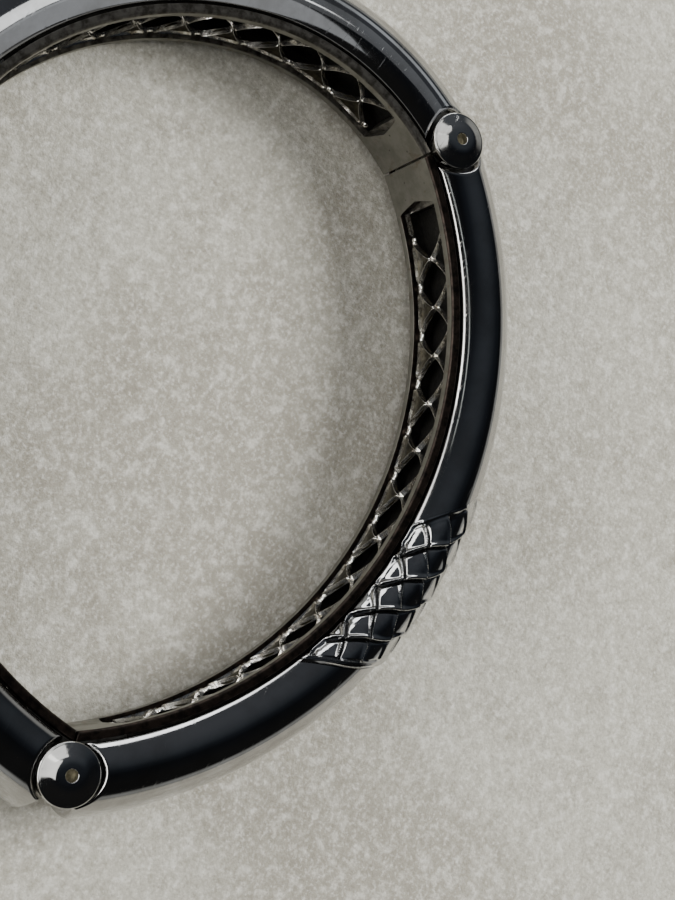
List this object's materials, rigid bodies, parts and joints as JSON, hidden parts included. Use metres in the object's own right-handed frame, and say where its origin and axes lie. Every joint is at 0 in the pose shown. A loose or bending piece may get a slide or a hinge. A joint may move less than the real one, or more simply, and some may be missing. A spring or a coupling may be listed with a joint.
{
  "type": "bangle bracelet",
  "caption": "Oval bangle of curved hollow segments with domed pinned knuckles, openwork inner walls and a braided front band; it swings open for the wrist.",
  "frame": {"origin": "centre of the closed bangle's bounding box, half-way up its height", "axes": "+Z is the ring's axis; the braided front segment is centred near -Y; +X runs across the wrist opening's long way"},
  "size_m": [0.0732, 0.0622, 0.0106],
  "materials": {
    "polished_silver": "mirror polished silver with fine wear scratches",
    "satin_silver": "dull satin silver, lightly tarnished",
    "lattice_silver": "bright ridges over oxidised metal",
    "blackened_silver": "blackened, matt",
    "braided_silver": "polished, oxidised in the grooves",
    "knuckle_silver": "dull, darkened in the gaps",
    "pin_brass": "dull",
    "magnet": "plated"
  },
  "bodies": {
    "front_body": {"front_shell": "polished_silver", "front_liner": "satin_silver", "front_lattice": "lattice_silver", "front_tray": "blackened_silver", "front_closing_clevis": "knuckle_silver", "front_side_clevis": "knuckle_silver", "front_braid": "braided_silver", "side_hinge_pin": "pin_brass", "side_hinge_upper_dome": "polished_silver", "side_hinge_lower_dome": "polished_silver", "closing_hinge_pin": "pin_brass", "closing_hinge_upper_dome": "polished_silver", "closing_hinge_lower_dome": "polished_silver"},
    "side_body": {"side_shell": "polished_silver", "side_liner": "satin_silver", "side_lattice": "lattice_silver", "side_tray": "blackened_silver", "side_tongue": "knuckle_silver", "side_closure_barrel": "knuckle_silver", "closure_pin": "pin_brass", "closure_upper_dome": "polished_silver", "closure_lower_dome": "polished_silver", "barrel_magnet": "magnet"},
    "closing_body": {"closing_shell": "polished_silver", "closing_liner": "satin_silver", "closing_lattice": "lattice_silver", "closing_tray": "blackened_silver", "closing_cup": "knuckle_silver", "closing_tongue": "knuckle_silver", "cup_magnet": "magnet"}
  },
  "joints": [
    {"name": "side_hinge", "type": "hinge", "parent": "front_body", "child": "side_body", "pos_m": [0.03061, -0.01046, 0], "axis": [0, 0, -1], "range_deg": [0, 56]},
    {"name": "closing_hinge", "type": "hinge", "parent": "front_body", "child": "closing_body", "pos_m": [-0.03275, -0.00976, 0], "axis": [0, 0, 1], "range_deg": [0, 56]}
  ]
}
